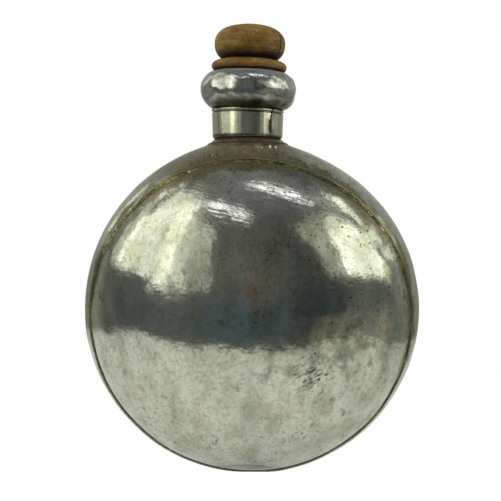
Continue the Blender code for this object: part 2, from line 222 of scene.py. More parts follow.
# the seam's plane: the way it faces, and how far along that way it lies
seamForwards = Vector((math.tan(body["seamTurn"]), -math.cos(body["seamLean"]), -math.sin(body["seamLean"])))
seamAhead = bodyCentre.dot(seamForwards) + body["seamForward"] * math.cos(body["seamLean"])


def seamNormal(half):
    return Vector([way * size for way, size in zip(seamForwards, half)])


def seamAngle(half, forward):
    return math.acos(forward * math.cos(body["seamLean"]) / seamNormal(half).length)


def seamFrame(half):
    turn = Vector((0, 0, 1)).rotation_difference(seamNormal(half)).to_matrix().to_4x4()
    return Matrix.Translation(bodyCentre) @ Matrix.Diagonal((*half, 1)) @ turn


# the upper body sways to the left, where the neck stands
def swayAt(height):
    share = (height - bodyCentre.z) / body["halfSize"].z
    return neck["x"] * max(share, 0) ** body["swayPower"]


# the shoulder's own height, raised towards the neck and beaten up into a level seat round it;
# the raising fades out at the seam, so that the rims still meet
def liftedHeight(x, y, height):
    fromAxis = math.hypot(x - neckPlace.x, y - neckPlace.y)
    beyond = max(fromAxis - neck["seatRadius"], 0)
    behindSeam = clamped((seamAhead - Vector((x, y, height)).dot(seamForwards)) / body["riseFade"])
    rise = body["shoulderRise"] * math.exp(-max(fromAxis - tubeRadius, 0) / body["shoulderSpread"])
    raised = height + rise * behindSeam
    seat = neck["seatHeight"] - neck["seatSlope"] * beyond - neck["seatCurve"] * beyond ** 2
    return (raised + seat + math.hypot(raised - seat, neck["seatBlend"])) / 2


# how far the back bowl's edge is hammered thin here: 1 at the seam, 0 a few millimetres behind it
def rimShare(place):
    return (1 - clamped((seamAhead - place.dot(seamForwards)) / body["rimReach"])) ** 2


def shoulderHeight(x, y):
    half, height = body["halfSize"], bodyCentre.z + body["halfSize"].z
    for _ in range(4):  # the sway depends on the height, so it is found in a few rounds
        height = bodyCentre.z + half.z * math.sqrt(
            1 - ((x - swayAt(height)) / half.x) ** 2 - ((y - bodyCentre.y) / half.y) ** 2)
    return liftedHeight(x, y, height)


# moves what was made round the Z axis to the neck's axis, sideways only
def moveToNeck(bm):
    bmesh.ops.translate(bm, verts=bm.verts, vec=(neckPlace.x, neckPlace.y, 0))


# materials

# Tinned sheet: raised by hand, wiped with hot tin and worn for decades. It gives the eye a
# soft mirror, broken by hammer lumps, hair scratches, small dark pits and grey-brown smudges.
# ripple and grain are relief in mm. Each scratch row is a direction in degrees, and the width and
# length of its pattern in mm; rubbed is place, radius, threshold and strength; worn is place, radius
# and strength, and spots add a colour.
# rust also colours the painted shade round the neck's foot, in the collar's groove and along its foot, and
# under the bulb
tin = dict(bright="#D2D4C6", cool="#A3A9A4", warm="#A4A287", dark="#6A6A5E", tarnish="#8A8168",
           rust="#4F4029", stain="#635630", pit="#211F1A", roughness=0.090, pitSize=0.23, ripple=0.150,
           grain=0.021, streaks=0.080, mottle=1.0, burnish=0,
           scratches=((38, 1.3, 26), (-27, 1.5, 34), (74, 1.8, 40), (12, 1.4, 30), (-62, 1.6, 30)),
           rubbed=(((0.0300, -0.0534, 0.0562), 0.019, 0.585, 0.85),
                   ((-0.0184, -0.0360, 0.0182), 0.012, 0.62, 0.6),
                   ((0.0260, -0.0381, 0.0231), 0.013, 0.62, 0.6)),
           worn=(((0.024, -0.057, 0.066), 0.036, 0.42), ((0.0500, -0.0470, 0.0670), 0.022, 0.62),
                 ((0.0665, -0.0369, 0.0667), 0.020, 0.35)),
           spots=(((-0.0129, -0.0544, 0.0493), 0.0019, 0.95, "#2A2018"),
                  # the brown spot below is a painted reflection of something brown in the room
                  ((-0.0033, -0.0605, 0.0984), 0.013, 0.3, "#9A6A48"),
                  ((-0.0750, -0.0310, 0.0795), 0.015, 0.8, "#7E7264"),
                  ((0.0507, -0.0275, 0.0255), 0.018, 0.40, "#84806C"),
                  ((0.0250, -0.0303, 0.0138), 0.016, 0.32, "#84806C")))


# thin lines along the level curves of noise drawn out in several directions, in patches; real ones
# are finer than the picture can show, so these are about 0.3 mm wide
def hairScratches(add, place, rows):
    scratches = 0
    for turn, across, along in rows:
        drawn = add("Mapping", {"Vector": place, "Rotation": (0, math.radians(turn), 0),
                                "Scale": (across / 1000, along / 1000, along / 1000)}, **drawnOut)
        level = add("TexNoise", {"Vector": drawn, "Scale": 1, "Detail": 1, "Roughness": 0.4})
        line = add("MapRange", {0: apartFrom(add, level, 0.5), 1: 0.022, 2: 0.004})
        patch = add("TexNoise", {"Vector": place, "Scale": perMetre(5 * across), "Detail": 1})
        patch = add("MapRange", {0: patch, 1: 0.50, 2: 0.62})
        line = add("Math", {0: line, 1: patch}, operation="MULTIPLY")
        scratches = add("Math", {0: scratches, 1: line}, operation="MAXIMUM")
    return scratches


# small round cells that the surface happens to cut, thick at the upper right
def smallPits(add, place, middle, fine, size):
    bent = add("VectorMath", {0: fine, 1: (0.0006, 0.0006, 0.0006), 2: place}, operation="MULTIPLY_ADD")
    cells = add("TexVoronoi", {"Vector": bent, "Scale": perMetre(2.8)}, "Distance")
    pits = add("MapRange", {0: cells, 1: size, 2: size * 0.45}, **smooth)
    upRight = add("VectorMath", {0: place, 1: (12, -10, 12)}, "Value", operation="DOT_PRODUCT")
    where = add("Math", {0: middle, 1: 3.6, 2: upRight}, operation="MULTIPLY_ADD")
    where = add("MapRange", {0: where, 1: 3.6, 2: 4.3})
    return add("Math", {0: pits, 1: where}, operation="MULTIPLY")


# the body's own dirt, and painted shade round the neck's foot; coat holds what the material is built up from
def addBodyDirtAndShade(add, look, place, noises, coat):
    broad, middle, _, ripple = noises

    # grey-brown tarnish where hands and cloth never rubbed, round the neck, redder in runs
    toNeck = add("VectorMath", {0: place, 1: neckPlace - Vector((0.012, 0, 0))}, "Value",
                 operation="DISTANCE")
    ahead = add("VectorMath", {0: place, 1: seamForwards}, "Value", operation="DOT_PRODUCT")
    inFront = add("MapRange", {0: ahead, 1: seamAhead - 0.001, 2: seamAhead + 0.001, 4: 0.014})
    away = add("Math", {0: toNeck, 1: inFront}, operation="ADD")
    away = add("Math", {0: broad, 1: -0.05, 2: away}, operation="MULTIPLY_ADD")
    tarnished = add("MapRange", {0: away, 1: 0.048, 2: 0, 4: 0.95}, **smooth)
    runs = add("Mapping", {"Vector": place, "Scale": (1, 0.35, 0.35)})
    runs = add("TexNoise", {"Vector": runs, "Scale": perMetre(2.6), "Detail": 4, "Roughness": 0.7})
    rusty = add("MapRange", {0: runs, 1: 0.49, 2: 0.70, 4: 0.8})
    rusty = add("Math", {0: rusty, 1: tarnished}, operation="MULTIPLY")

    # painted shade in a dark ring in the corner round the neck's foot, and dirt on its skirt
    fromAxis = add("VectorMath", {0: place, 1: (1, 1, 0), 2: (-neckPlace.x, -neckPlace.y, 0)},
                   operation="MULTIPLY_ADD")
    fromAxis = add("VectorMath", {0: fromAxis}, "Value", operation="LENGTH")
    fromFoot = apartFrom(add, fromAxis, neck["footRadius"] + 0.0003)
    footShade = add("MapRange", {0: fromFoot, 1: 0.0010, 2: 0.0003, 4: 0.85})
    footShade = add("Math", {0: footShade, 1: tarnished}, operation="MULTIPLY")
    skirtDirt = add("MapRange", {0: fromAxis, 1: 0.0225, 2: 0.0210, 4: 0.45})

    # wiping marks across the upper half, which break the lamps' reflections into streaks
    marks = add("Mapping", {"Vector": place, "Rotation": (0, math.radians(14), 0),
                            "Scale": (0.013, 0.013, 0.0018)}, **drawnOut)
    marks = add("TexNoise", {"Vector": marks, "Scale": 1, "Detail": 1.5})
    upper = add("MapRange", {0: add("SeparateXYZ", {0: place}, 2), 1: 0.118, 2: 0.140, 3: 0.15})
    marks = add("Math", {0: marks, 1: upper}, operation="MULTIPLY")

    # old flux and solder smeared along the seam, wider at the top and the upper right
    apart = apartFrom(add, ahead, seamAhead + 0.0008)
    width = add("VectorMath", {0: place, 1: (0.012, 0, 0.044)}, "Value", operation="DOT_PRODUCT")
    ragged = add("Math", {0: middle, 1: 0.0220, 2: width}, operation="MULTIPLY_ADD")
    edge = add("Math", {0: apart, 1: ragged}, operation="SUBTRACT")
    stained = add("MapRange", {0: edge, 1: -0.0102, 2: -0.0147, 4: 0.66}, **smooth)

    coat["layers"] += [(tarnished, look["tarnish"]), (rusty, look["rust"]), (skirtDirt, look["rust"]),
                       (footShade, look["rust"]), (stained, look["stain"])]
    coat["rough"] += [(tarnished, 0.14), (stained, 0.18)]
    coat["oxides"] += [(tarnished, -0.35)]
    coat["relief"] += [(marks, look["streaks"])]

    # rubbed places, each a patch of short dark strokes, and worn ones, mottled darker
    strokes = add("Mapping", {"Vector": place, "Rotation": (0, math.radians(52), 0),
                              "Scale": (0.0011, 0.006, 0.0036)}, **drawnOut)
    strokes = add("TexNoise", {"Vector": strokes, "Scale": 1, "Detail": 2, "Roughness": 0.6,
                               "Distortion": 0.7})
    for spot, radius, low, strength in look["rubbed"]:
        near = nearSpot(add, place, spot, radius, -0.12, 0.10)
        rubbed = add("Math", {0: strokes, 1: near}, operation="ADD")
        rubbed = add("MapRange", {0: rubbed, 1: low, 2: low + 0.07, 4: strength})
        coat["layers"] += [(rubbed, look["pit"])]
        coat["rough"] += [(rubbed, 0.10)]
    for spot, radius, strength in look["worn"]:
        near = nearSpot(add, place, spot, radius, -0.20, 0.16)
        worn = add("Math", {0: ripple, 1: near}, operation="ADD")
        worn = add("MapRange", {0: worn, 1: 0.46, 2: 0.66, 4: strength})
        coat["layers"] += [(worn, look["dark"])]


# brown painted shade and painted reflection on the bulb's underside in the corner over the collar, brown
# painted shade in the collar's groove and along its foot, dirt on its hem, a dull ring under the stopper
def addMouthDirtAndShade(add, look, place, noises, coat):
    middle = noises[1]
    onMouth = add("Mapping", {"Vector": place, "Location": mouthFrame.to_translation(),
                              "Rotation": (0, neck["lean"], 0)}, **drawnOut)
    upwards = add("SeparateXYZ", {0: onMouth}, 2)
    # painted shade and reflection: the bulb's underside over the collar darkened brown
    corner = add("Math", {0: middle, 1: -0.008, 2: upwards}, operation="MULTIPLY_ADD")
    cornerShade = add("MapRange", {0: corner, 1: 0.0045, 2: -0.0035, 4: 0.95}, **smooth)
    onBulb = add("MapRange", {0: upwards, 1: -0.0002, 2: 0.0004})
    cornerShade = add("Math", {0: cornerShade, 1: onBulb}, operation="MULTIPLY")
    dullRing = add("MapRange", {0: upwards, 1: 0.0184, 2: 0.0197, 4: 0.85}, **smooth)
    hem, grooveMiddle = collar["hem"], 2 * collar["hem"] + collar["groove"] / 2
    fromGroove, fromHem = [apartFrom(add, upwards, -down) for down in (grooveMiddle, hem)]
    # painted shade in the collar's groove under the hem, brown
    grooveShade = add("MapRange", {0: fromGroove, 1: 0.00060, 2: 0.00030, 4: 0.85})
    hemDirt = add("MapRange", {0: fromHem, 1: hem * 1.15, 2: hem * 0.9, 4: 0.40})
    # painted shade: a dark brown band along the collar's foot, above the shaded gap over the skirt
    collarFoot = -collar["height"]
    footShade = add("MapRange", {0: upwards, 1: collarFoot + 0.0022, 2: collarFoot + 0.0010, 4: 0.80})
    coat["layers"] += [(cornerShade, look["rust"]), (dullRing, look["dull"]), (hemDirt, look["hem"]),
                       (grooveShade, look["rust"]), (footShade, look["rust"])]
    coat["rough"] += [(cornerShade, 0.2), (dullRing, 0.3)]
    coat["oxides"] += [(dullRing, -0.9), (cornerShade, -0.4)]


def makeTinnedSheet(name, look, addDirt):
    material, add = emptyMaterial(name)
    place = add("TexCoord", out="Object")

    # smudges: broad and middle patches drawn out along the wiping direction, and fine ones; then the
    # planished ripple
    wiped = add("Mapping", {"Vector": place, "Rotation": (0, math.radians(38), 0), "Scale": (1, 1, 0.5)})
    noises = [add("TexNoise", {"Vector": source, "Scale": perMetre(size), "Detail": detail,
                               "Roughness": roughness})
              for source, size, detail, roughness in ((wiped, 34, 3, 0.55), (wiped, 9, 5, 0.68),
                                                      (place, 2.2, 4, 0.7), (place, 6.5, 2.5, 0.48))]
    broad, middle, fine, ripple = noises
    scratches = hairScratches(add, place, look["scratches"])
    pits = smallPits(add, place, middle, fine, look["pitSize"])
    cool = add("MapRange", {0: broad, 1: 0.46, 2: 0.70, 4: 0.6})
    warm = add("MapRange", {0: middle, 1: 0.44, 2: 0.68, 4: 0.75 * look["mottle"]})
    dark = add("MapRange", {0: fine, 1: 0.50, 2: 0.74, 4: 0.6 * look["mottle"]})
    lines = add("Math", {0: scratches, 1: 0.26}, operation="MULTIPLY")

    # the coat: colours by share, and what each share adds to the roughness, the relief in mm, and the
    # metallic value, because oxide and dirt scatter light where clean tin only mirrors it
    coat = dict(layers=[(cool, look["cool"]), (warm, look["warm"]), (dark, look["dark"]),
                        (lines, look["dark"])],
                rough=[(scratches, 0.12), (dark, 0.10)], oxides=[],
                relief=[(ripple, look["ripple"]), (fine, look["grain"]), (scratches, -0.0022),
                        (pits, -0.03)])
    addDirt(add, look, place, noises, coat)
    for spot, radius, strength, hexColour in look["spots"]:
        toSpot = add("VectorMath", {0: place, 1: spot}, "Value", operation="DISTANCE")
        ragged = add("Math", {0: fine, 1: radius * 0.8, 2: toSpot}, operation="MULTIPLY_ADD")
        mark = add("MapRange", {0: ragged, 1: radius, 2: radius * 0.3, 4: strength}, **smooth)
        coat["layers"] += [(mark, hexColour)]
    coat["layers"] += [(pits, look["pit"])]

    # smoother where rubbed, duller in smudges, scratches and stains
    rough = add("MapRange", {0: middle, 1: 0.3, 2: 0.75, 3: look["roughness"] - 0.02,
                             4: look["roughness"] + 0.09})
    sockets = {"Base Color": layered(add, linear(look["bright"]), coat["layers"]),
               "Metallic": weighted(add, 1, coat["oxides"], use_clamp=True),
               "Roughness": weighted(add, rough, coat["rough"])}
    if look["burnish"]:
        # rubbed round and round on the lathe, which draws its reflections out up and down
        around = add("Tangent", direction_type="RADIAL", axis="Z")
        sockets.update({"Tangent": around, "Anisotropic": look["burnish"], "Anisotropic Rotation": 0.25})
    finishMaterial(add, weighted(add, 0, coat["relief"]), 1, 0.001, sockets)
    return material


# Old soft solder: lead and tin run into the lap, gone olive-brown with age, with bright knots.
# It gives the eye a dull, grainy line, painted lighter grey towards the base, where this painted light thins
# the seam's shaded line.
solder = dict(dull="#857B45", deep="#4B4620", bright="#BDB58E", rubbed="#8F8D7F", roughness=0.34,
              metallic=0.85, rubbedBelow=0.045, rubbedFull=0.015)


def makeOldSolder():
    material, add = emptyMaterial("old_soft_solder")
    place = add("TexCoord", out="Object")
    blotches = add("TexNoise", {"Vector": place, "Scale": perMetre(6), "Detail": 4, "Roughness": 0.65})
    grain = add("TexNoise", {"Vector": place, "Scale": perMetre(1.6), "Detail": 3})
    deep = add("MapRange", {0: blotches, 1: 0.60, 2: 0.38, 4: 0.9})
    bright = add("MapRange", {0: grain, 1: 0.54, 2: 0.70, 4: 0.7})
    # painted light: lighter grey towards the base, which thins the shaded line of the seam there
    rubbed = add("MapRange", {0: add("SeparateXYZ", {0: place}, 2), 1: solder["rubbedBelow"],
                              2: solder["rubbedFull"], 4: 0.9})
    colour = layered(add, linear(solder["dull"]), [(deep, solder["deep"]), (bright, solder["bright"]),
                                                   (rubbed, solder["rubbed"])])
    rough = add("MapRange", {0: grain, 1: 0.35, 2: 0.7, 3: solder["roughness"] + 0.12,
                             4: solder["roughness"] - 0.14})
    relief = add("Math", {0: blotches, 1: 0.15, 2: grain}, operation="MULTIPLY_ADD")
    finishMaterial(add, relief, 0.9, 0.0002,
                   {"Base Color": colour, "Metallic": solder["metallic"], "Roughness": rough})
    return material


# Fruitwood, turned and left bare: short fibres along the axis, mottled by handling, near black along the
# drying crack, with near-black painted shade in the groove and up the knob's underside and under the flange.
# It gives the eye a soft, dry sheen.
wood = dict(light="#B48F4A", mid="#664819", dark="#33220B", ochre="#946E22", grease="#150E05",
            roughness=0.44, sheen=0.28, crackHalfWidth=0.00028, crackCrook=0.0010)


# across the drying crack, and outward from the axis through it
def crackWays(turn=0):
    a = stopper["crackAngle"] + turn
    return Vector((math.cos(a), math.sin(a), 0)), Vector((math.sin(a), -math.cos(a), 0))


def makeTurnedWood():
    material, add = emptyMaterial("turned_fruitwood")
    place = add("TexCoord", out="Object")
    turned = add("Mapping", {"Vector": place, "Location": mouthFrame @ Vector((0, 0, bulbTop)),
                             "Rotation": (0, neck["lean"], 0)}, **drawnOut)

    # the wood itself: fibres, broad figure, growth rings and the marks of the turning tool
    patterns = []
    for stretch, size, detail, roughness, distortion in (((1, 1, 0.22), 0.65, 4, 0.65, 0),
                                                         ((0.6, 0.6, 1.3), 6.5, 6, 0.62, 0.5),
                                                         ((0.12, 0.12, 1), 1.1, 3, 0.5, 0)):
        drawn = add("Mapping", {"Vector": turned, "Scale": stretch})
        patterns.append(add("TexNoise", {"Vector": drawn, "Scale": perMetre(size), "Detail": detail,
                                         "Roughness": roughness, "Distortion": distortion}))
    fibre, figure, toolMarks = patterns
    rings = add("TexWave", {"Vector": turned, "Scale": perMetre(16), "Distortion": 6, "Detail": 5,
                            "Detail Scale": 1.6, "Detail Roughness": 0.65}, 1,
                wave_type="BANDS", bands_direction="Z")
    light = add("MapRange", {0: figure, 1: 0.34, 2: 0.66})
    ochre = add("Math", {0: rings, 1: 0.5}, operation="MULTIPLY")
    marked = add("MapRange", {0: toolMarks, 1: 0.46, 2: 0.66, 4: 0.34})
    fibrous = add("MapRange", {0: fibre, 1: 0.46, 2: 0.66, 4: 0.42})

    # painted shade, near black: in the groove between flange and knob and up the knob's underside, and under
    # the flange
    upwards = add("SeparateXYZ", {0: turned}, 2)
    low = stopper["flangeHeight"]
    uneven = add("Math", {0: figure, 1: 0.0030, 2: upwards}, operation="MULTIPLY_ADD")
    grooveShade = add("MapRange", {0: uneven, 1: low + 0.0076, 2: low + 0.0038, 4: 0.93}, **smooth)
    onKnob = add("MapRange", {0: upwards, 1: low - 0.0002, 2: low + 0.0006, 3: 0.1})
    grooveShade = add("Math", {0: grooveShade, 1: onKnob}, operation="MULTIPLY")
    # painted shade under the flange, near black
    underFlangeShade = add("MapRange", {0: upwards, 1: 0.0015, 2: 0.0004, 4: 0.8})

    # the drying crack, a dark crooked line on the knob's right front
    side, outward = crackWays()
    aside = add("VectorMath", {0: turned, 1: side}, "Value", operation="DOT_PRODUCT")
    aside = add("Math", {0: figure, 1: wood["crackCrook"], 2: aside}, operation="MULTIPLY_ADD")
    crack = add("MapRange", {0: apartFrom(add, aside, wood["crackCrook"] / 2),
                             1: wood["crackHalfWidth"] * 2, 2: wood["crackHalfWidth"], 4: 0.95})
    outer = add("VectorMath", {0: turned, 1: outward}, "Value", operation="DOT_PRODUCT")
    outer = add("MapRange", {0: outer, 1: 0.008, 2: 0.011})
    for share in (outer, onKnob):
        crack = add("Math", {0: crack, 1: share}, operation="MULTIPLY")

    colour = layered(add, linear(wood["mid"]), [
        (light, wood["light"]), (ochre, wood["ochre"]), (marked, wood["dark"]), (fibrous, wood["dark"]),
        (underFlangeShade, wood["grease"]), (grooveShade, wood["grease"]), (crack, wood["grease"])])
    rough = add("MapRange", {0: fibre, 1: 0.3, 2: 0.75, 3: wood["roughness"] - 0.06,
                             4: wood["roughness"] + 0.14})
    relief = add("Math", {0: crack, 1: -2, 2: fibre}, operation="MULTIPLY_ADD")
    finishMaterial(add, relief, 0.6, 0.00015,
                   {"Base Color": colour, "Roughness": rough, "Specular IOR Level": wood["sheen"]})
    return material


# Dry, matte skins: a white one on the spilt drops whose brightness is a painted highlight, brown dirt packed
# into the collar's split, a near-black one that is painted shade in the split's narrow upper part, and the
# scraped tin of the back bowl's rim, which only glows softly.
def makeCrust(name, pale, deep, metallic=0.0, roughness=0.55):
    material, add = emptyMaterial(name)
    grain = add("TexNoise", {"Vector": add("TexCoord", out="Object"), "Scale": perMetre(0.9), "Detail": 3})
    share = add("MapRange", {0: grain, 1: 0.40, 2: 0.60})
    colour = add("Mix", {0: share, 6: linear(pale), 7: linear(deep)}, 2, data_type="RGBA")
    finishMaterial(add, grain, 0.6, 0.0002,
                   {"Base Color": colour, "Metallic": metallic, "Roughness": roughness})
    return material


bowlMetal = makeTinnedSheet("tinned_sheet", tin, addBodyDirtAndShade)
bulbTin = dict(tin, bright="#CCCFCC", cool="#9EA4AA", warm="#A4A39A", rust="#403722", dull="#938980",
               hem="#5E5A44", dark="#55554B", roughness=0.14, mottle=1.2, pitSize=0.10, ripple=0.27,
               grain=0.016, scratches=((82, 0.9, 9), (14, 1.1, 12)),
               # the dark brown spot below, on the bulb's lower front, is painted shade and a painted
               # reflection of the collar and shoulder under it
               spots=(((0.0026, -0.0230, 0.1960), 0.0120, 1.0, "#2E2415"),))
bulbMetal = makeTinnedSheet("tinned_bulb", bulbTin, addMouthDirtAndShade)
collarTin = dict(bulbTin, bright="#E0DEC8", cool="#C0C1B2", warm="#C4BF9F", roughness=0.120, ripple=0.05,
                 grain=0.004, mottle=0.5, burnish=0.98, scratches=((88, 0.8, 14), (20, 1.2, 30)), spots=[])
# brown dirt along the split low down, and near-black painted shade along its narrow upper part in the last
# three: height on the collar, turn from the split's middle, size and colour
splitSpots = ((0.0034, -0.12, 0.0062, "#4A3614"), (0.0060, -0.15, 0.0062, "#5E4418"),
              (0.0088, -0.13, 0.0044, "#3E3014"), (0.0110, -0.105, 0.0022, "#2A2212"),
              (0.0130, -0.090, 0.0022, "#2A2212"), (0.0150, -0.080, 0.0022, "#2A2212"))
for up, turn, radius, hexColour in splitSpots:
    a = collar["splitAngle"] + turn
    outward = Vector((math.sin(a), -math.cos(a), 0)) * collar["topRadius"]
    collarTin["spots"].append((neckPlace + outward + Vector((0, 0, up)), radius, 0.95, hexColour))
collarMetal = makeTinnedSheet("burnished_tin", collarTin, addMouthDirtAndShade)
oldSolder = makeOldSolder()
turnedWood = makeTurnedWood()
# a white matte skin on the spilt drops: a painted highlight
paintedDropHighlight = makeCrust("white_flux_crust", "#FBFAF2", "#C9C6B4")
splitDirt = makeCrust("packed_brown_dirt", "#B08230", "#3A2810")
# a near-black skin: painted shade in the narrow upper part of the collar's split
splitShade = makeCrust("packed_black_dirt", "#2A2010", "#120C06")
scrapedRim = makeCrust("scraped_tin_rim", "#C4C3B4", "#96948A", 0.8)
print("materials made")


# the two bowls

def makeBowl(half, startAngle, endAngle, rings, level, isBack):
    angles = [startAngle + (endAngle - startAngle) * i / rings for i in range(rings + 1)]
    bm = spun([(math.sin(a), math.cos(a)) for a in angles], body["rounds"], closed=False)
    bm.faces.ensure_lookup_table()
    if bm.faces[0].normal.dot(bm.faces[0].calc_center_median()) < 0:
        bmesh.ops.reverse_faces(bm, faces=bm.faces)
    bm.transform(seamFrame(half))
    for v in bm.verts:
        v.co.x += swayAt(v.co.z)
    if isBack:
        for v in bm.verts:
            if v.co.z > bodyCentre.z:
                v.co.z = liftedHeight(*v.co)
        bm.normal_update()
        for v in bm.verts:
            v.co -= v.normal * body["rimThinned"] * rimShare(v.co)
    addLumps(bm, body["lumps"])
    geom = list(bm.verts) + list(bm.edges) + list(bm.faces)
    bmesh.ops.bisect_plane(bm, geom=geom, dist=1e-6, plane_co=(0, 0, level), plane_no=(0, 0, 1))
    for v in bm.verts:
        v.co.z = max(v.co.z, level)  # the base, hammered flat
    return bm


def addWall(piece, thickness, rimMaterial=0):
    wall = piece.modifiers.new("wall", "SOLIDIFY")
    wall.thickness = thickness
    wall.offset = -1
    wall.use_even_offset = True
    wall.material_offset_rim = rimMaterial
    edge = piece.modifiers.new("soft edge", "BEVEL")
    edge.width = body["edgeBevel"]
    edge.segments = 2
    edge.limit_method = "ANGLE"
    edge.angle_limit = math.radians(50)


frontRim = seamAngle(frontHalf, body["seamForward"] - body["seamLap"])
frontBm = makeBowl(frontHalf, 0, frontRim, body["frontRings"], lapDepth, False)
frontBowl = finishPiece("front_bowl", frontBm, [bowlMetal])
addWall(frontBowl, body["sheet"])
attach(frontBowl, "flask")
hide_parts("front_shell")

backRim = seamAngle(body["halfSize"], body["seamForward"])
backBm = makeBowl(body["halfSize"], math.pi, backRim, body["backRings"], 0, True)
hole = [f for f in backBm.faces if f.calc_center_median().z > bodyCentre.z
        and (f.calc_center_median() - neckPlace).xy.length < tubeBore + neck["holeMargin"]]
bmesh.ops.delete(backBm, geom=hole, context="FACES")
backBowl = finishPiece("back_bowl", backBm, [bowlMetal, scrapedRim])
addWall(backBowl, body["sheet"], 1)
# the wall is as much thinner at the rim as the surface is dressed in
thinning = backBowl.vertex_groups.new(name="sheet")
for v in backBowl.data.vertices:
    thinning.add([v.index], 1 - rimShare(v.co) * body["rimThinned"] / body["sheet"], "REPLACE")
backBowl.modifiers["wall"].vertex_group = "sheet"
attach(backBowl, "flask")
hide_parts("back_shell")
print("bowls made")


# the solder in the seam: a small fillet with knots where it was topped up

# lap is how far ahead of the back bowl's edge it starts, and lift how far off the front bowl it stays;
# the fillet is (across, up) from corner to tip, as shares of the width and of the step's height
bead = dict(width=0.0009, lap=-0.0002, lift=0.0001, fullAbove=0.135, least=0.30, rounds=480,
            knots=((0.011, 0.00016), (0.0042, 0.00026), (0.0018, 0.00012)), knotsAt=Vector((0.3, 0.1, 0.2)),
            fillet=((0, 0), (0, 0.5), (0, 0.93), (0.12, 0.85), (0.26, 0.60), (0.44, 0.34), (0.66, 0.15),
                    (0.85, 0.05), (1, 0)))


def makeSeamSolder():
    length = seamNormal(frontHalf).length
    start = body["seamForward"] + bead["lap"]
    step = lapDepth - body["rimThinned"] - bead["lift"]
    profile = []
    for across, up in bead["fillet"]:
        forward = (start + bead["width"] * across) * math.cos(body["seamLean"]) / length
        grow = 1 + (bead["lift"] + step * up) / frontHalf.z
        profile.append((math.sqrt(1 - forward * forward) * grow, forward * grow))
    bm = spun(profile, bead["rounds"])
    place = seamFrame(frontHalf)
    for v in bm.verts:
        full = clamped((place @ v.co).z / bead["fullAbove"], bead["least"])
        v.co *= (1 + (v.co.length - 1) * full) / v.co.length
    bm.transform(place)
    for v in bm.verts:
        v.co.x += swayAt(v.co.z)
    addLumps(bm, body["lumps"])
    addLumps(bm, bead["knots"], bead["knotsAt"])
    for v in bm.verts:
        v.co.z = max(v.co.z, body["gap"])
    return bm


seamSolder = finishPiece("seam_solder_bead", makeSeamSolder(), [oldSolder], 60)
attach(seamSolder, "flask")
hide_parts("seam_solder")


# neck tube and its flared foot

def makeNeckTube():
    top = collarBottom + collar["height"] + neck["aboveCollar"]
    edge = neck["seatHeight"] + body["gap"] + neck["footEdge"]
    spread = neck["footRadius"] - tubeRadius
    skirt = [(tubeRadius + spread * share ** neck["skirtPower"], edge + neck["skirtRise"] * (1 - share))
             for share in (1, 0.9, 0.75, 0.6, 0.45, 0.3, 0.18, 0.08, 0)]
    # the underside starts at height 0, which marks what is draped over the shoulder
    under = [(tubeBore, 0), (neck["footRadius"] - neck["footTuck"], 0)]
    bm = spun(under + skirt + [(tubeRadius, top), (tubeBore, top)], neck["rounds"])
    moveToNeck(bm)
    for v in bm.verts:
        shoulder = shoulderHeight(v.co.x, v.co.y)
        if v.co.z <= 0:
            v.co.z = min(shoulder + body["gap"] / 3, edge - neck["footEdge"] / 2)
        elif v.co.z < top:
            v.co.z = max(v.co.z, shoulder + body["gap"])
    return bm


neckTube = finishPiece("neck_tube_flared", makeNeckTube(), [bowlMetal])
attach(neckTube, "flask")
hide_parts("neck_tube")

# a thin fillet of solder round the foot, and bright drops spilt beside it, their brightness a painted
# highlight in a white matte skin: x, y and radius
spilt = dict(width=0.0026, high=0.0007, clear=0.00005, rootSunk=0.0003, tipSunk=0.0001,
             lumps=((0.004, 0.00010),), fillet=((0, 1), (0.15, 0.62), (0.4, 0.27)),
             dropScale=(0.8, 1, 1.3), dropLumpShare=0.5, dropSpacing=0.001, dropLiftShare=0.4,
             drops=((0.0094, -0.0206, 0.00090), (0.0124, -0.0190, 0.00073), (0.0052, -0.0226, 0.00045),
                    (-0.0208, -0.0238, 0.00040), (-0.0190, -0.0256, 0.00036), (0.0040, -0.0206, 0.00036)))


def makeFootSolder():
    start, width = neck["footRadius"] + spilt["clear"], spilt["width"]
    fillet = [(start + width * across, spilt["high"] * up) for across, up in spilt["fillet"]]
    root, tip = (start, -spilt["rootSunk"]), (start + width, -spilt["tipSunk"])
    bm = spun([root, *fillet, tip], neck["rounds"])
    moveToNeck(bm)
    for v in bm.verts:
        v.co.z += shoulderHeight(v.co.x, v.co.y)
    addLumps(bm, spilt["lumps"])
    for x, y, radius in spilt["drops"]:
        drop = bmesh.ops.create_icosphere(bm, subdivisions=2, radius=radius)["verts"]
        bmesh.ops.scale(bm, verts=drop, vec=spilt["dropScale"])
        offset = Vector((x, y, 0)) / spilt["dropSpacing"]
        for v in drop:
            v.co *= 1 + spilt["dropLumpShare"] * noise.noise(v.co / radius + offset)
        height = shoulderHeight(x, y) + radius * spilt["dropLiftShare"]
        bmesh.ops.translate(bm, verts=drop, vec=(x, y, height))
        # the drops get the white skin, a painted highlight
        for face in {f for v in drop for f in v.link_faces}:
            face.material_index = 1
    return bm


footSolder = finishPiece("foot_solder_bead", makeFootSolder(), [bowlMetal, paintedDropHighlight], 60)
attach(footSolder, "flask")
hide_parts("foot_solder")
print("neck and foot made")


# collar, split down its right front

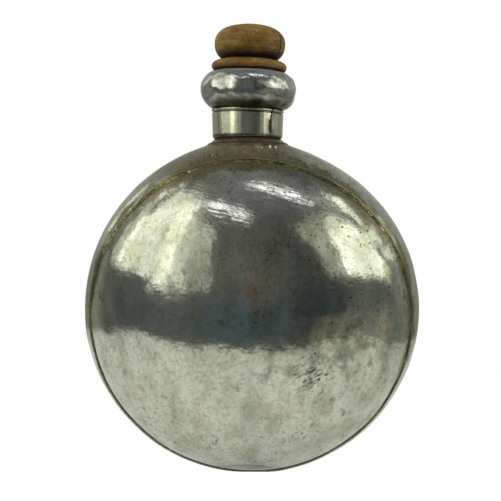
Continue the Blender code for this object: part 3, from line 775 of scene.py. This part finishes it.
# the split wanders sideways and is torn wide low down, both by share of the collar's height; it holds brown
# dirt low down, and above that its sides and the strip of solder that lies in it are near black, painted
# shade of the narrow slit
split = dict(aside=-0.0021, bend=0.0035, bendAt=0.45, hook=0.0011, hookAt=0.6, half=0.00038,
             torn=0.00072, tornAt=0.33, tornReach=0.27, tornPower=0.7, roughFrom=0.0005,
             rough=((0.00030, 900, 3.1), (0.00026, 700, 9.4)), cutSteps=48, cutAbove=0.004,
             cutStart=0.0002, cutReach=0.006, dirtBelow=0.0088, stripSteps=32, stripUp=0.0003,
             stripDown=0.0006, stripLow=0.0085, proudLow=0.0011, proudHigh=0.0005, grimeAbove=0.0080,
             stripShares=(0.7, 1.1), stripLumps=((0.0016, 0.00022),))
splitFrame = Matrix.Translation(neckPlace) @ Matrix.Rotation(collar["splitAngle"], 4, "Z")


def makeCollar():
    c = collar
    hemCentre = (c["topRadius"] + c["hemProud"] - c["hem"], c["height"] - c["hem"])
    under = -math.degrees(math.acos((c["hem"] - c["hemProud"]) / c["hem"]))
    inside = c["lowRadius"] - c["sheet"]
    high = c["height"] - 2 * c["hem"] - c["groove"]
    profile = [(inside, 0)]
    profile += arc((c["lowRadius"] - c["turnIn"], c["turnUp"]), c["turnIn"], c["turnUp"], -80, 0, 7)
    profile += [(c["lowRadius"] + (c["topRadius"] - c["lowRadius"]) * i / c["sideSteps"],
                 c["turnUp"] + (high - c["turnUp"]) * i / c["sideSteps"])
                for i in range(1, c["sideSteps"] + 1)]
    profile += [(c["topRadius"] - c["grooveDeep"], high + c["groove"] * c["grooveSlopeShare"]),
                (c["topRadius"] - c["grooveDeep"], high + c["groove"])]
    profile += arc(hemCentre, c["hem"], c["hem"], under, 180, 14)
    bm = spun(profile, c["rounds"])
    addLumps(bm, c["lumps"], Vector((0.11, 0.05, 0)))
    for v in bm.verts:
        # the split's lips stand a little proud, and the top is cut on a slant to meet the bulb
        away = math.atan2(v.co.x, -v.co.y) - c["splitAngle"] - splitLine(v.co.z)[0] / tubeRadius
        lip = max(0.0, 1 - abs(away) / c["lipSpread"]) ** 2 * min(1.0, v.co.z / c["lipFade"])
        if v.co.xy.length > inside + c["lipFrom"]:
            v.co.xy *= 1 + c["lipProud"] * lip / tubeRadius
        v.co.z -= v.co.x * math.tan(neck["lean"]) * max(v.co.z, 0) / c["height"]
    bm.transform(Matrix.Translation(neckPlace))
    return bm


# how far the split wanders sideways and its half width at a height
def splitLine(height):
    share = clamped(height / collar["height"])
    wander = split["aside"] + split["bend"] * (share - split["bendAt"]) ** 2
    wander += split["hook"] * max(share - split["hookAt"], 0)
    torn = max(0.0, 1 - abs(share - split["tornAt"]) / split["tornReach"])
    return wander, split["half"] + split["torn"] * torn ** split["tornPower"]


# a solid along the split: its edges at each height, where it starts and how far out it reaches
def splitSolid(low, high, steps, edgesAt, start, reachAt):
    heights = [low + (high - low) * i / steps for i in range(steps + 1)]
    left = [(edgesAt(z)[0], z) for z in heights]
    right = [(edgesAt(z)[1], z) for z in heights]
    bm = bmesh.new()
    outline = [bm.verts.new((x, start, z)) for x, z in left + right[::-1]]
    grown = bmesh.ops.extrude_face_region(bm, geom=[bm.faces.new(outline)])["geom"]
    for part in grown:
        if isinstance(part, bmesh.types.BMVert):
            part.co.y -= reachAt(part.co.z)
    return bm


def makeSplitCutter():
    def tornEdges(z):
        wander, half = splitLine(z)
        rough = min(1.0, half / split["roughFrom"])
        left, right = [depth * rough * noise.noise(Vector((z * scale, seed, 0)))
                       for depth, scale, seed in split["rough"]]
        return wander - half - left, wander + half + right

    bm = splitSolid(collar["splitFloor"], collar["height"] + split["cutAbove"], split["cutSteps"],
                    tornEdges, -tubeRadius + split["cutStart"], lambda z: split["cutReach"])
    bmesh.ops.recalc_face_normals(bm, faces=bm.faces)
    # the cut's sides: brown dirt low down, near-black painted shade above
    for cutFace in bm.faces:
        cutFace.material_index = 2 if cutFace.calc_center_median().z < split["dirtBelow"] else 1
    bm.transform(splitFrame)
    return bm


# the cut is applied at once, so that no helper object stays in the scene
def cutAndRemove(piece, cutterBm):
    mesh = bpy.data.meshes.new("cutter")
    cutterBm.to_mesh(mesh)
    cutterBm.free()
    for material in piece.data.materials:
        mesh.materials.append(material)
    cutter = bpy.data.objects.new("cutter", mesh)
    bpy.context.scene.collection.objects.link(cutter)
    cut = piece.modifiers.new("cut", "BOOLEAN")
    cut.operation = "DIFFERENCE"
    cut.solver = "EXACT"
    cut.object = cutter
    bpy.context.view_layer.update()
    finished = piece.evaluated_get(bpy.context.evaluated_depsgraph_get())
    done = bpy.data.meshes.new_from_object(finished)
    piece.modifiers.clear()
    piece.data = done
    bpy.data.objects.remove(cutter)


collarMaterials = [collarMetal, splitShade, splitDirt]
collarPiece = finishPiece("neck_collar_split", makeCollar(), collarMaterials)
cutAndRemove(collarPiece, makeSplitCutter())
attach(collarPiece, "flask")
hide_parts("neck_collar")


def makeCollarSolder():
    def stripEdges(z):
        wander, half = splitLine(z)
        left, right = split["stripShares"]
        return wander - half * left, wander + half * right

    bm = splitSolid(collar["splitFloor"] + split["stripUp"], collar["height"] - split["stripDown"],
                    split["stripSteps"], stripEdges, -tubeRadius - body["gap"] / 2,
                    lambda z: split["proudLow"] if z < split["stripLow"] else split["proudHigh"])
    bmesh.ops.subdivide_edges(bm, edges=bm.edges, cuts=2, use_grid_fill=True)
    bmesh.ops.recalc_face_normals(bm, faces=bm.faces)
    # above, the strip is near black: painted shade of the narrow slit
    for strip in bm.faces:
        strip.material_index = 1 if strip.calc_center_median().z > split["grimeAbove"] else 0
    addLumps(bm, split["stripLumps"])
    bm.transform(splitFrame)
    return bm


collarSolder = finishPiece("collar_solder_strip", makeCollarSolder(), [splitDirt, splitShade])
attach(collarSolder, "flask")
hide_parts("collar_solder")
print("collar made")


# hollow bulb round the mouth

def makeBulb():
    wall, width, high, steps = bulb["sheet"], bulb["sectionWidth"], bulb["sectionHeight"], bulb["steps"]
    middle = bulb["radius"] - width
    roll = middle - bulb["mouth"]
    centre, lipCentre = (middle, bulbCentreHeight), (middle, bulbTop - roll)
    lipEnd = lipCentre[1] - bulb["lip"]
    profile = arc(centre, width, high, bulb["bottomDeg"], 0, steps)
    profile += arc(centre, width, high, 0, 90, steps, bulb["upperPower"])[1:]
    profile += arc(lipCentre, roll, roll, 90, 180, 8)[1:]
    profile += [(bulb["mouth"], lipEnd), (bulb["mouth"] + wall, lipEnd)]
    profile += arc(lipCentre, roll - wall, roll - wall, 180, 90, 6)
    profile += arc(centre, width - wall, high - wall, 90, bulb["bottomDeg"], steps)[1:]
    bm = spun(profile, bulb["rounds"])
    still = {v for v in bm.verts if v.co.z < wall or v.co.xy.length < middle + bulb["smoothTo"]}
    addLumps(bm, bulb["lumps"], Vector((0.02, 0.3, 0.1)), still)
    bm.transform(mouthFrame)
    return bm


bulbPiece = finishPiece("neck_bulb_hollow", makeBulb(), [bulbMetal])
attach(bulbPiece, "flask")
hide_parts("neck_bulb")
print("bulb made")


# stopper

def makeStopper():
    s = stopper
    plugRadius = bulb["mouth"] - body["gap"]
    tip = plugRadius - s["taper"]
    drop = (s["knobWidest"] - s["flangeHeight"] - s["grooveHeight"]) / s["knobDrop"]
    lowest = -math.degrees(math.asin(drop ** (s["squareness"] / 2)))
    profile = [(0, -s["plug"]), (tip - s["chamfer"], -s["plug"]), (tip, s["chamfer"] - s["plug"]),
               (plugRadius, 0)]
    profile += arc((s["flange"] - s["flangeUnder"], s["flangeWidest"]), s["flangeUnder"],
                   s["flangeWidest"], -90, 0, 10)[:-1]
    profile += arc((s["flangeShoulder"], s["flangeWidest"]), s["flange"] - s["flangeShoulder"],
                   s["flangeHeight"] - s["flangeWidest"], 0, 90, 12)
    profile.append((s["groove"], s["flangeHeight"] + s["grooveHeight"] / 2))
    profile += arc((0, s["knobWidest"]), s["knob"], s["knobDrop"], lowest, 0, 22, s["squareness"])
    profile += arc((0, s["knobWidest"]), s["knob"], s["knobRise"], 0, 90, 26, s["squareness"])[1:]
    bm = spun(profile, s["rounds"], closed=False)
    still = {v for v in bm.verts if v.co.z < s["flangeEdge"]}
    addLumps(bm, s["lumps"], Vector((0.5, 0.2, 0.4)), still)

    # the drying crack: three cuts along the axis, the middle one pressed in
    for turn in (-s["crackHalfAngle"], 0, s["crackHalfAngle"]):
        side, outward = crackWays(turn)
        faces = [f for f in bm.faces if f.calc_center_median().dot(outward) > s["crackCutFrom"]
                 and f.calc_center_median().z > s["flangeHeight"]]
        geom = faces + list({e for f in faces for e in f.edges}) + list({v for f in faces for v in f.verts})
        bmesh.ops.bisect_plane(bm, geom=geom, dist=1e-6, plane_co=(0, 0, 0), plane_no=side)
    side, outward = crackWays()
    for v in bm.verts:
        beyond = v.co.dot(outward) - s["crackFrom"]
        if abs(v.co.dot(side)) < 1e-5 and beyond > 0 and v.co.z > s["flangeHeight"] + s["crackAbove"]:
            v.co -= outward * s["crackDepth"] * min(1.0, beyond / s["crackFade"])
    bm.transform(mouthFrame @ Matrix.Translation((0, 0, bulbTop + body["gap"] / 3)))
    return bm


stopperPiece = finishPiece("stopper_turned", makeStopper(), [turnedWood], 30)
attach(stopperPiece, "stopper")
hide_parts("stopper")
print("stopper made")


# floor, lamps and surroundings

# a pale table top: white to the camera and partly so to the metal, with the flask's soft shadow
table = dict(left=-0.46, right=0.34, front=-0.236, back=0.60, drop=0.0002, paper="#E9EADC",
             seenInMetal=0.44, dimFrom=(0.05, -0.15), dimTo=(0.30, -0.25), dimLeast=0.30,
             shadowKept=0.16, lift=1.25)


def makeTable():
    material, add = emptyMaterial("pale_paper")
    paper = add("BsdfDiffuse", {"Color": linear(table["paper"])})
    white = add("Emission", {"Color": (1, 1, 1, 1), "Strength": table["lift"]})
    seen = add("MixShader", {0: 1 - table["shadowKept"], 1: paper, 2: white})
    path = add("LightPath", out=None).outputs
    mirrored = add("Math", {0: path["Is Glossy Ray"], 1: path["Is Transmission Ray"]}, operation="MAXIMUM")
    # dimmer to the metal towards the front and the right, where less light falls
    where = add("SeparateXYZ", {0: add("TexCoord", out="Object")}, None).outputs
    dim = table["seenInMetal"]
    for axis in (0, 1):
        fade = add("MapRange", {0: where[axis], 1: table["dimFrom"][axis], 2: table["dimTo"][axis], 3: 1,
                                4: table["dimLeast"]})
        dim = add("Math", {0: fade, 1: dim}, operation="MULTIPLY")
    share = add("Math", {0: mirrored, 1: dim, 2: path["Is Camera Ray"]}, operation="MULTIPLY_ADD",
                use_clamp=True)
    add("OutputMaterial", {"Surface": add("MixShader", {0: share, 1: paper, 2: seen})}, None)
    right, left, front, back = table["right"], table["left"], table["front"], table["back"]
    bm = bmesh.new()
    bmesh.ops.create_grid(bm, x_segments=1, y_segments=1, size=0.5)
    bmesh.ops.scale(bm, verts=bm.verts, vec=(right - left, back - front, 1))
    bmesh.ops.translate(bm, verts=bm.verts, vec=((right + left) / 2, (back + front) / 2, -table["drop"]))
    mesh = bpy.data.meshes.new("table_top")
    bm.to_mesh(mesh)
    bm.free()
    mesh.materials.append(material)
    top = bpy.data.objects.new("table_top", mesh)
    bpy.context.scene.collection.objects.link(top)


makeTable()


# a soft box; turn is its own axes as a matrix
def addLamp(name, centre, turn, size, bright, colour="#FFFFFF", mirrored=True):
    data = bpy.data.lights.new(name, "AREA")
    data.shape = "RECTANGLE"
    data.size, data.size_y = size
    data.energy = math.pi * size[0] * size[1] * bright
    data.color = linear(colour)[:3]
    lamp = bpy.data.objects.new(name, data)
    lamp.matrix_world = Matrix.Translation(centre) @ turn.to_4x4()
    lamp.visible_camera = False
    lamp.visible_glossy = mirrored
    bpy.context.scene.collection.objects.link(lamp)


# soft boxes like tall windows at both sides, and two tubes with their glow overhead: centre, size,
# brightness as seen in a mirror, the way the width runs and the way it faces (None for the flask)
lampColours = dict(window="#FBFCEA", tube="#F4F2FF")
alongLeft, fromLeft = (0, 1, 0), (1, 0, 0)
alongRight, fromRight = (0.26, 0.29, 0), (-0.29, 0.26, 0)
alongBack, fromBack = (0, 1, 0), (-1, 0, 0)
alongTubeLeft, alongTubeRight = (0.44, -0.50, 0.05), (0.45, -0.06, -0.04)
lamps = dict(
    window_left_back=((-0.40, 0.045, 0.365), (0.07, 0.30), 0.6, alongLeft, fromLeft),
    window_left_pane=((-0.40, -0.015, 0.325), (0.05, 0.22), 1.7, alongLeft, fromLeft),
    window_left=((-0.40, -0.15, 0.495), (0.21, 0.57), 1.25, alongLeft, fromLeft),
    window_left_front=((-0.40, -0.345, 0.485), (0.17, 0.65), 1.65, alongLeft, fromLeft),
    window_left_top=((-0.40, -0.29, 0.90), (0.28, 0.18), 1.0, alongLeft, fromLeft),
    window_left_far=((-0.40, 0.30, 0.42), (0.14, 0.26), 0.7, alongLeft, fromLeft),
    window_left_edge=((-0.40, -0.52, 0.50), (0.17, 0.62), 0.80, alongLeft, fromLeft),
    window_left_curtain=((-0.40, -0.80, 0.55), (0.38, 0.62), 0.50, (0, 1, -0.25), fromLeft),
    window_left_high=((-0.40, 0.09, 0.64), (0.16, 0.36), 0.9, alongLeft, fromLeft),
    window_right=((0.4166, -0.151, 0.314), (0.275, 0.225), 1.55, alongRight, fromRight),
    window_right_low=((0.526, -0.028, 0.235), (0.12, 0.08), 1.0, (0.26, 0.29, -0.30), fromRight),
    window_right_top=((0.395, -0.178, 0.47), (0.19, 0.12), 0.85, (0.26, 0.29, -0.09), fromRight),
    window_right_edge=((0.290, -0.2925, 0.37), (0.17, 0.32), 0.40, (0.26, 0.29, 0.16), fromRight),
    window_right_back=((0.50, 0.012, 0.60), (0.105, 0.50), 1.25, alongBack, fromBack),
    window_right_glow=((0.50, 0.105, 0.365), (0.19, 0.22), 0.85, alongBack, fromBack),
    window_right_haze=((0.46, -0.06, 0.66), (0.32, 0.30), 0.22, (0.20, 0.29, 0), (-0.29, 0.20, 0)),
    tube_left=((-0.23, -0.64, 1.00), (0.46, 0.070), 1.5, alongTubeLeft, None),
    tube_right=((0.220, -0.303, 1.00), (0.35, 0.065), 2.6, alongTubeRight, None),
    tube_left_glow=((-0.23, -0.64, 1.01), (0.66, 0.12), 0.55, alongTubeLeft, None),
    tube_right_glow=((0.235, -0.305, 1.01), (0.58, 0.12), 0.8, alongTubeRight, None))
for name, (centre, size, bright, along, faces) in lamps.items():
    along = Vector(along).normalized()
    back = -Vector(faces) if faces else Vector(centre) - bodyCentre
    back = (back - along * back.dot(along)).normalized()
    turn = Matrix((along, back.cross(along), back)).transposed()
    addLamp(name, centre, turn, size, bright, lampColours[name.split("_")[0]])

# two soft fills that the metal doesn't mirror: from the front and low down, and overhead
fills = dict(fill_front=((0.05, -1.1, 0.42), (1.1, 0.6), 0.55),
             fill_above=((-0.15, -0.25, 1.25), (1.0, 1.0), 0.9))
for name, (centre, size, bright) in fills.items():
    turn = (bodyCentre - Vector(centre)).to_track_quat("-Z", "Y").to_matrix()
    addLamp(name, centre, turn, size, bright, mirrored=False)

# the room: white to the camera; metal sees dim walls, darker at table height and in front, with the
# white backdrop straight behind the flask. Each stop is elevation in degrees and a colour; each
# patch is a colour, azimuth, elevation and width in degrees, and strength. Where one wall turns into
# the other, and where the backdrop starts, is how far backwards a ray of length 1 goes
room = dict(wallsTurn=(-0.10, 0.50), backdrop=(0.955, 0.975),
            front=((-35, "#56574F"), (-14, "#626866"), (-4, "#636A6B"), (8, "#6C706F"), (16, "#6E706E"),
                   (48, "#656764"), (60, "#787A7E"), (80, "#7E8084")),
            behind=((-35, "#8F8F86"), (-8, "#8C8C80"), (2, "#909084"), (14, "#B0B1A8"), (45, "#9E9F97"),
                    (80, "#8A8B8D")),
            patches=(("#2C363A", 34, 2, 36, 0.85), ("#35526A", -4, -9, 30, 0.55),
                     ("#4A4D4C", 20, 26, 30, 0.7), ("#4C5456", -78, 2, 42, 0.5),
                     ("#4A4E4C", -108, 17, 26, 0.7), ("#A29C8A", 82, -10, 17, 0.9),
                     ("#A29C8A", 60, -13, 17, 0.9), ("#A09987", 40, -18, 17, 0.9),
                     ("#8A6A4E", 2, 9, 11, 0.55), ("#484A49", 8, 50, 24, 0.25)))


def makeRoom():
    world = bpy.data.worlds.new("room")
    bpy.context.scene.world = world
    world.use_nodes = True
    world.node_tree.nodes.clear()
    add = partial(addNode, world.node_tree)
    way = add("TexCoord", out="Generated")
    wayParts = add("SeparateXYZ", {0: way}, None).outputs
    upShare = add("MapRange", {0: wayParts[2], 1: -1, 2: 1})
    walls = []
    for side in ("front", "behind"):
        ramp = add("ValToRGB", {0: upShare}, None)
        stops = ramp.color_ramp.elements
        for number, (elevation, hexColour) in enumerate(room[side]):
            where = (math.sin(math.radians(elevation)) + 1) / 2
            stop = stops[number] if number < 1 else stops.new(where)
            stop.position, stop.color = where, linear(hexColour)
        stops.remove(stops[len(stops) - 1])  # the stop that a new ramp ends with
        walls.append(ramp.outputs[0])
    start, full = room["wallsTurn"]
    backShare = add("MapRange", {0: wayParts[1], 1: start, 2: full}, **smooth)
    colour = add("Mix", {0: backShare, 6: walls[0], 7: walls[1]}, 2, data_type="RGBA")
    patches = []
    for hexColour, azimuth, elevation, wide, strength in room["patches"]:
        az, el = math.radians(azimuth), math.radians(elevation)
        towards = (math.sin(az) * math.cos(el), -math.cos(az) * math.cos(el), math.sin(el))
        patches.append((nearSpot(add, way, towards, math.radians(wide), 0, strength, **smooth), hexColour))
    colour = layered(add, colour, patches)
    path = add("LightPath", out=None).outputs
    start, full = room["backdrop"]
    backdrop = add("MapRange", {0: wayParts[1], 1: start, 2: full})
    mirrored = add("Math", {0: path["Is Glossy Ray"], 1: path["Is Transmission Ray"]}, operation="ADD")
    mirrored = add("Math", {0: mirrored, 1: backdrop}, operation="MULTIPLY")
    white = add("Math", {0: path["Is Camera Ray"], 1: mirrored}, operation="ADD", use_clamp=True)
    seen = add("Mix", {0: white, 6: colour, 7: (1, 1, 1, 1)}, 2, data_type="RGBA")
    sky = add("Background", {"Color": seen, "Strength": 1.0})
    add("OutputWorld", {"Surface": sky}, None)


makeRoom()
bpy.context.scene.view_settings.view_transform = "Standard"
print("stage set")
